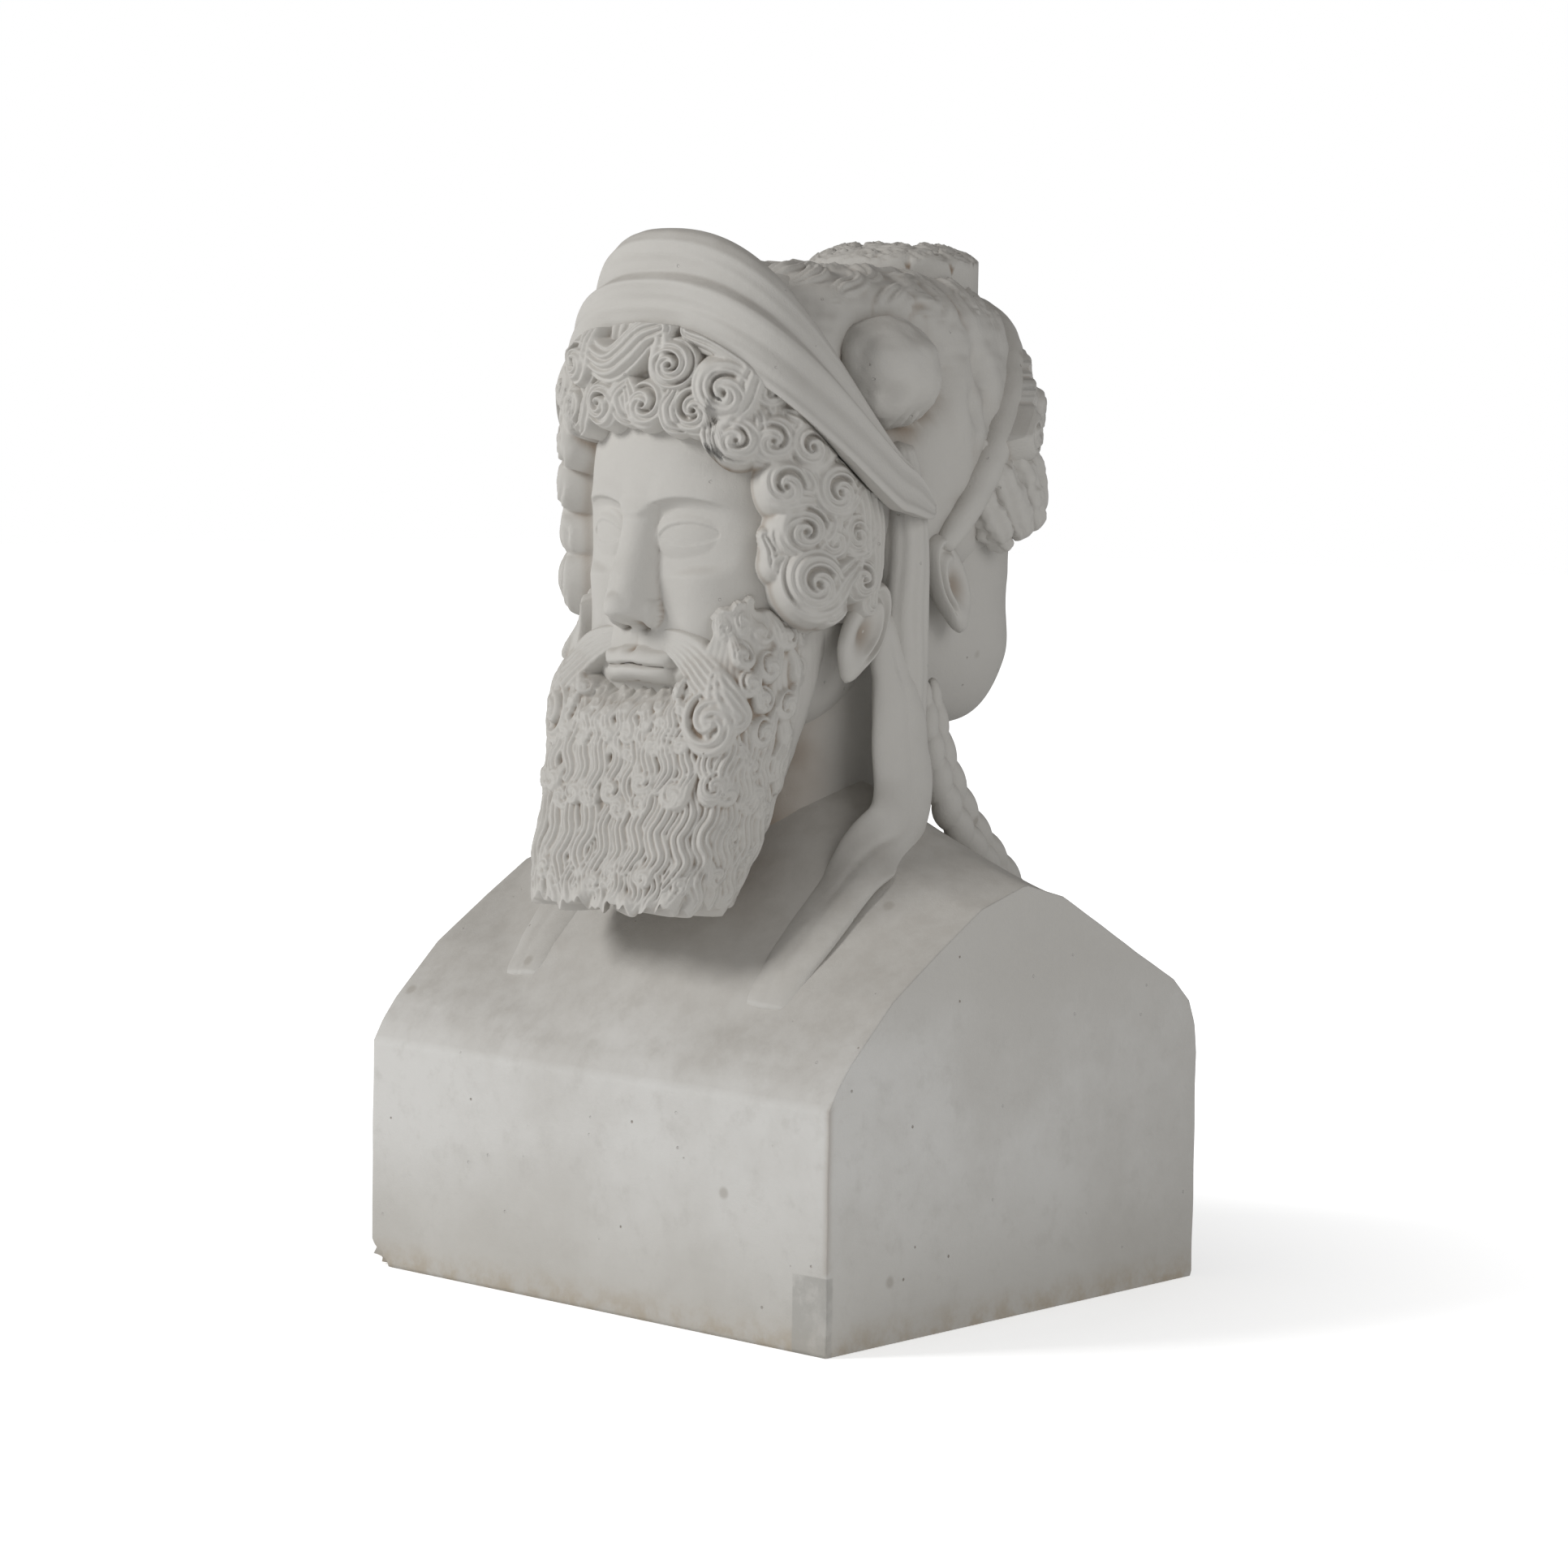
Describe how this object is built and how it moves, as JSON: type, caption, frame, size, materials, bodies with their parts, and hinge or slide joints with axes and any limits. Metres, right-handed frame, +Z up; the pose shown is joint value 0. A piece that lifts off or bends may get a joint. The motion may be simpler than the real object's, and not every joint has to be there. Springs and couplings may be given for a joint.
{
  "type": "janus sculpture",
  "caption": "Double-headed plaster bust: a curly bearded head and a youthful head back to back, with headbands, on a gabled block.",
  "frame": {"origin": "middle of the block's flat underside", "axes": "+Z up; the bearded head looks along -Y and the other head along +Y; the gable ends face +X and -X"},
  "size_m": [0.36, 0.3417, 0.6145],
  "materials": {
    "plaster": "matte off-white cast plaster with grey dust in its hollows, small pits, knocks and worn edges"
  },
  "bodies": {
    "root": {"double_herm": "plaster"}
  },
  "joints": []
}
